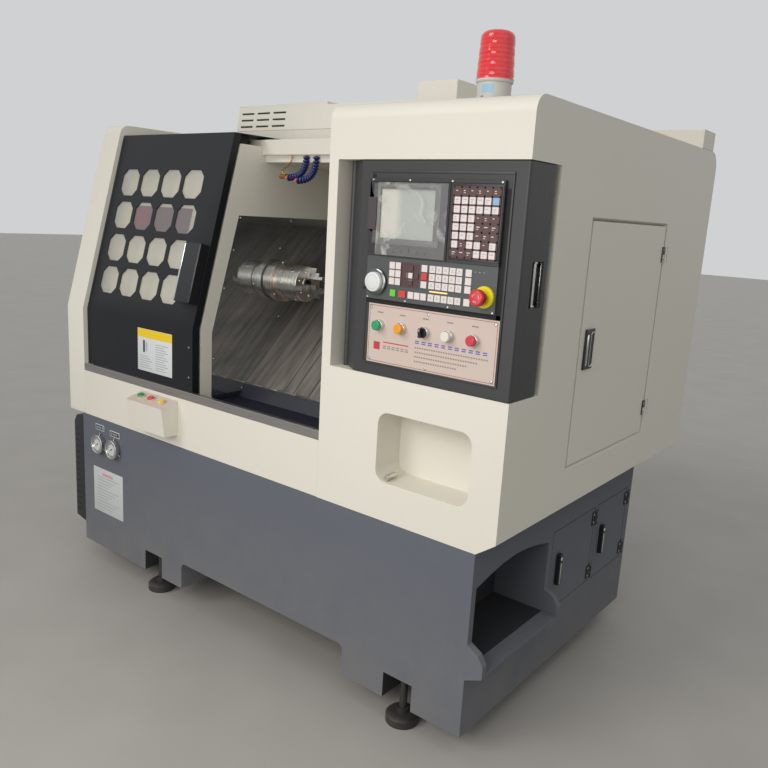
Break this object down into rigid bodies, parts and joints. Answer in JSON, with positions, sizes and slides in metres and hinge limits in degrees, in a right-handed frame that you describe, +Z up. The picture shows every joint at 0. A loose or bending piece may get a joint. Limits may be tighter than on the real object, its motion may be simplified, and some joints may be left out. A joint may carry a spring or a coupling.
{
  "type": "cnc turning lathe",
  "caption": "Enclosed slant-bed turning lathe with a sliding windowed door, a jaw chuck, a swinging control console, a slate base on levelling feet and a signal beacon.",
  "frame": {"origin": "on the floor, at the middle of the footprint", "axes": "+X to the right as seen facing the front, +Y from the front to the back, +Z up"},
  "size_m": [2.0992, 1.527, 2.0003],
  "materials": {
    "black_plastic": "matt",
    "brass": "satin",
    "brushed_aluminium": "brushed",
    "charcoal_panel": "matt",
    "chrome": "polished",
    "cream_paint": "satin",
    "dark_steel": "oiled",
    "door_paint": "semi-gloss",
    "hose_blue": "matt",
    "light_grey": "matt",
    "polished_black_sheet": "polished",
    "signal_green": "gloss",
    "signal_orange": "gloss",
    "signal_red": "gloss",
    "signal_white": "gloss",
    "signal_yellow": "gloss",
    "slate_paint": "matt",
    "switch_plate": "matt",
    "tray_paint": "matt",
    "turned_steel": "turned",
    "way_cover_steel": "oiled",
    "window_pane": "clear"
  },
  "bodies": {
    "cabinet": {"base_frame": "slate_paint", "beacon_base": "light_grey", "beacon_dome": "signal_red", "centre_housing": "cream_paint", "chip_tray": "tray_paint", "coolant_hose_1": "hose_blue", "coolant_hose_2": "hose_blue", "door_track": "brushed_aluminium", "enclosure_floor": "cream_paint", "foot_1": "dark_steel", "foot_2": "dark_steel", "foot_3": "dark_steel", "foot_4": "dark_steel", "gauge_1": "chrome", "gauge_2": "chrome", "headstock_housing": "cream_paint", "hood_box": "cream_paint", "hose_fitting": "brass", "left_cheek": "cream_paint", "pendant_box": "cream_paint", "rear_box": "cream_paint", "right_cabinet": "cream_paint", "sill_rail": "brushed_aluminium", "slant_bed": "way_cover_steel", "spindle_nose": "turned_steel", "splash_sheet": "polished_black_sheet", "top_box": "cream_paint", "vent_guard": "black_plastic"},
    "door": {"sliding_door": "door_paint", "door_window": "window_pane", "door_handle": "black_plastic"},
    "chuck": {"chuck_body": "turned_steel"},
    "chuck_jaw_1": {"jaw_1": "turned_steel"},
    "chuck_jaw_2": {"jaw_2": "turned_steel"},
    "chuck_jaw_3": {"jaw_3": "turned_steel"},
    "mid_cover": {"mid_way_cover": "way_cover_steel"},
    "carriage": {"saddle": "way_cover_steel"},
    "slide": {"cross_slide": "charcoal_panel"},
    "turret": {"tool_turret": "turned_steel"},
    "console": {"console_shell": "black_plastic", "cnc_unit": "black_plastic", "machine_panel": "charcoal_panel", "switch_panel": "switch_plate", "pull_handle": "turned_steel"},
    "wheel": {"handwheel": "chrome"},
    "stop": {"stop_button": "signal_red"},
    "push_green": {"button_green": "signal_green"},
    "push_orange": {"button_orange": "signal_orange"},
    "push_white": {"button_white": "signal_white"},
    "push_red": {"button_red": "signal_red"},
    "selector": {"mode_selector": "black_plastic"},
    "cabinet_door": {"side_door": "cream_paint"},
    "cabinet_latch": {"side_latch": "dark_steel"},
    "front_base_door": {"base_door_1": "slate_paint"},
    "rear_base_door": {"base_door_2": "slate_paint"},
    "front_base_latch": {"base_latch_1": "dark_steel"},
    "rear_base_latch": {"base_latch_2": "dark_steel"},
    "pendant_green": {"pendant_button_green": "signal_green"},
    "pendant_red": {"pendant_button_red": "signal_red"},
    "pendant_yellow": {"pendant_button_yellow": "signal_yellow"}
  },
  "joints": [
    {"name": "door_slide", "type": "slide", "parent": "cabinet", "child": "door", "axis": [1, 0, 0], "range_m": [0, 0.6448]},
    {"name": "chuck_spin", "type": "hinge", "parent": "cabinet", "child": "chuck", "pos_m": [-0.23965, -0.2591, 1.241], "axis": [1, 0, 0], "continuous": true},
    {"name": "jaw_1_slide", "type": "slide", "parent": "chuck", "child": "chuck_jaw_1", "axis": [0, 0.3256, 0.9455], "range_m": [-0.008, 0.01]},
    {"name": "jaw_2_slide", "type": "slide", "parent": "chuck", "child": "chuck_jaw_2", "axis": [0, -0.9816, -0.1908], "range_m": [-0.008, 0.01]},
    {"name": "jaw_3_slide", "type": "slide", "parent": "chuck", "child": "chuck_jaw_3", "axis": [0, 0.6561, -0.7547], "range_m": [-0.008, 0.01]},
    {"name": "saddle_slide", "type": "slide", "parent": "cabinet", "child": "carriage", "axis": [-1, 0, 0], "range_m": [0, 0.25]},
    {"name": "mid_cover_slide", "type": "slide", "parent": "cabinet", "child": "mid_cover", "axis": [-1, 0, 0], "range_m": [0, 0.125]},
    {"name": "cross_slide_feed", "type": "slide", "parent": "carriage", "child": "slide", "axis": [0, -0.7193, -0.6947], "range_m": [0, 0.15]},
    {"name": "turret_index", "type": "hinge", "parent": "slide", "child": "turret", "pos_m": [0.42535, -0.1469, 1.36354], "axis": [-1, 0, 0], "continuous": true},
    {"name": "console_swing", "type": "hinge", "parent": "cabinet", "child": "console", "pos_m": [0.45315, -0.6463, 1.361], "axis": [0, 0, -1], "range_deg": [0, 80]},
    {"name": "handwheel_turn", "type": "hinge", "parent": "console", "child": "wheel", "pos_m": [0.59845, -0.7008, 1.33], "axis": [0, -1, 0], "continuous": true},
    {"name": "stop_press", "type": "slide", "parent": "console", "child": "stop", "axis": [0, 1, 0], "range_m": [0, 0.004]},
    {"name": "push_green_press", "type": "slide", "parent": "console", "child": "push_green", "axis": [0, 1, 0], "range_m": [0, 0.003], "stiffness_N_per_m": 300},
    {"name": "push_orange_press", "type": "slide", "parent": "console", "child": "push_orange", "axis": [0, 1, 0], "range_m": [0, 0.003], "stiffness_N_per_m": 300},
    {"name": "push_white_press", "type": "slide", "parent": "console", "child": "push_white", "axis": [0, 1, 0], "range_m": [0, 0.003], "stiffness_N_per_m": 300},
    {"name": "push_red_press", "type": "slide", "parent": "console", "child": "push_red", "axis": [0, 1, 0], "range_m": [0, 0.003], "stiffness_N_per_m": 300},
    {"name": "selector_turn", "type": "hinge", "parent": "console", "child": "selector", "pos_m": [0.77075, -0.6963, 1.21], "axis": [0, -1, 0], "range_deg": [-45, 45]},
    {"name": "side_door_swing", "type": "hinge", "parent": "cabinet", "child": "cabinet_door", "pos_m": [1.04515, 0.3085, 1.1695], "axis": [0, 0, 1], "range_deg": [0, 110]},
    {"name": "side_latch_lift", "type": "hinge", "parent": "cabinet_door", "child": "cabinet_latch", "pos_m": [1.04335, -0.2435, 1.218], "axis": [0, -1, 0], "range_deg": [0, 35]},
    {"name": "base_door_1_swing", "type": "hinge", "parent": "cabinet", "child": "front_base_door", "pos_m": [0.98615, 0.1265, 0.409], "axis": [0, 0, 1], "range_deg": [0, 110]},
    {"name": "base_latch_1_turn", "type": "hinge", "parent": "front_base_door", "child": "front_base_latch", "pos_m": [0.98135, -0.1535, 0.4105], "axis": [1, 0, 0], "range_deg": [0, 90]},
    {"name": "base_door_2_swing", "type": "hinge", "parent": "cabinet", "child": "rear_base_door", "pos_m": [0.98615, 0.4225, 0.409], "axis": [0, 0, 1], "range_deg": [0, 110]},
    {"name": "base_latch_2_turn", "type": "hinge", "parent": "rear_base_door", "child": "rear_base_latch", "pos_m": [0.98135, 0.1945, 0.4105], "axis": [1, 0, 0], "range_deg": [0, 90]},
    {"name": "pendant_green_press", "type": "slide", "parent": "cabinet", "child": "pendant_green", "axis": [0, 0.2922, -0.9564], "range_m": [0, 0.003], "stiffness_N_per_m": 300},
    {"name": "pendant_red_press", "type": "slide", "parent": "cabinet", "child": "pendant_red", "axis": [0, 0.2922, -0.9564], "range_m": [0, 0.003], "stiffness_N_per_m": 300},
    {"name": "pendant_yellow_press", "type": "slide", "parent": "cabinet", "child": "pendant_yellow", "axis": [0, 0.2922, -0.9564], "range_m": [0, 0.003], "stiffness_N_per_m": 300}
  ],
  "couplings": [
    {"joint": "jaw_2_slide", "follows": "jaw_1_slide", "ratio": 1},
    {"joint": "jaw_3_slide", "follows": "jaw_1_slide", "ratio": 1},
    {"joint": "mid_cover_slide", "follows": "saddle_slide", "ratio": 0.5}
  ]
}
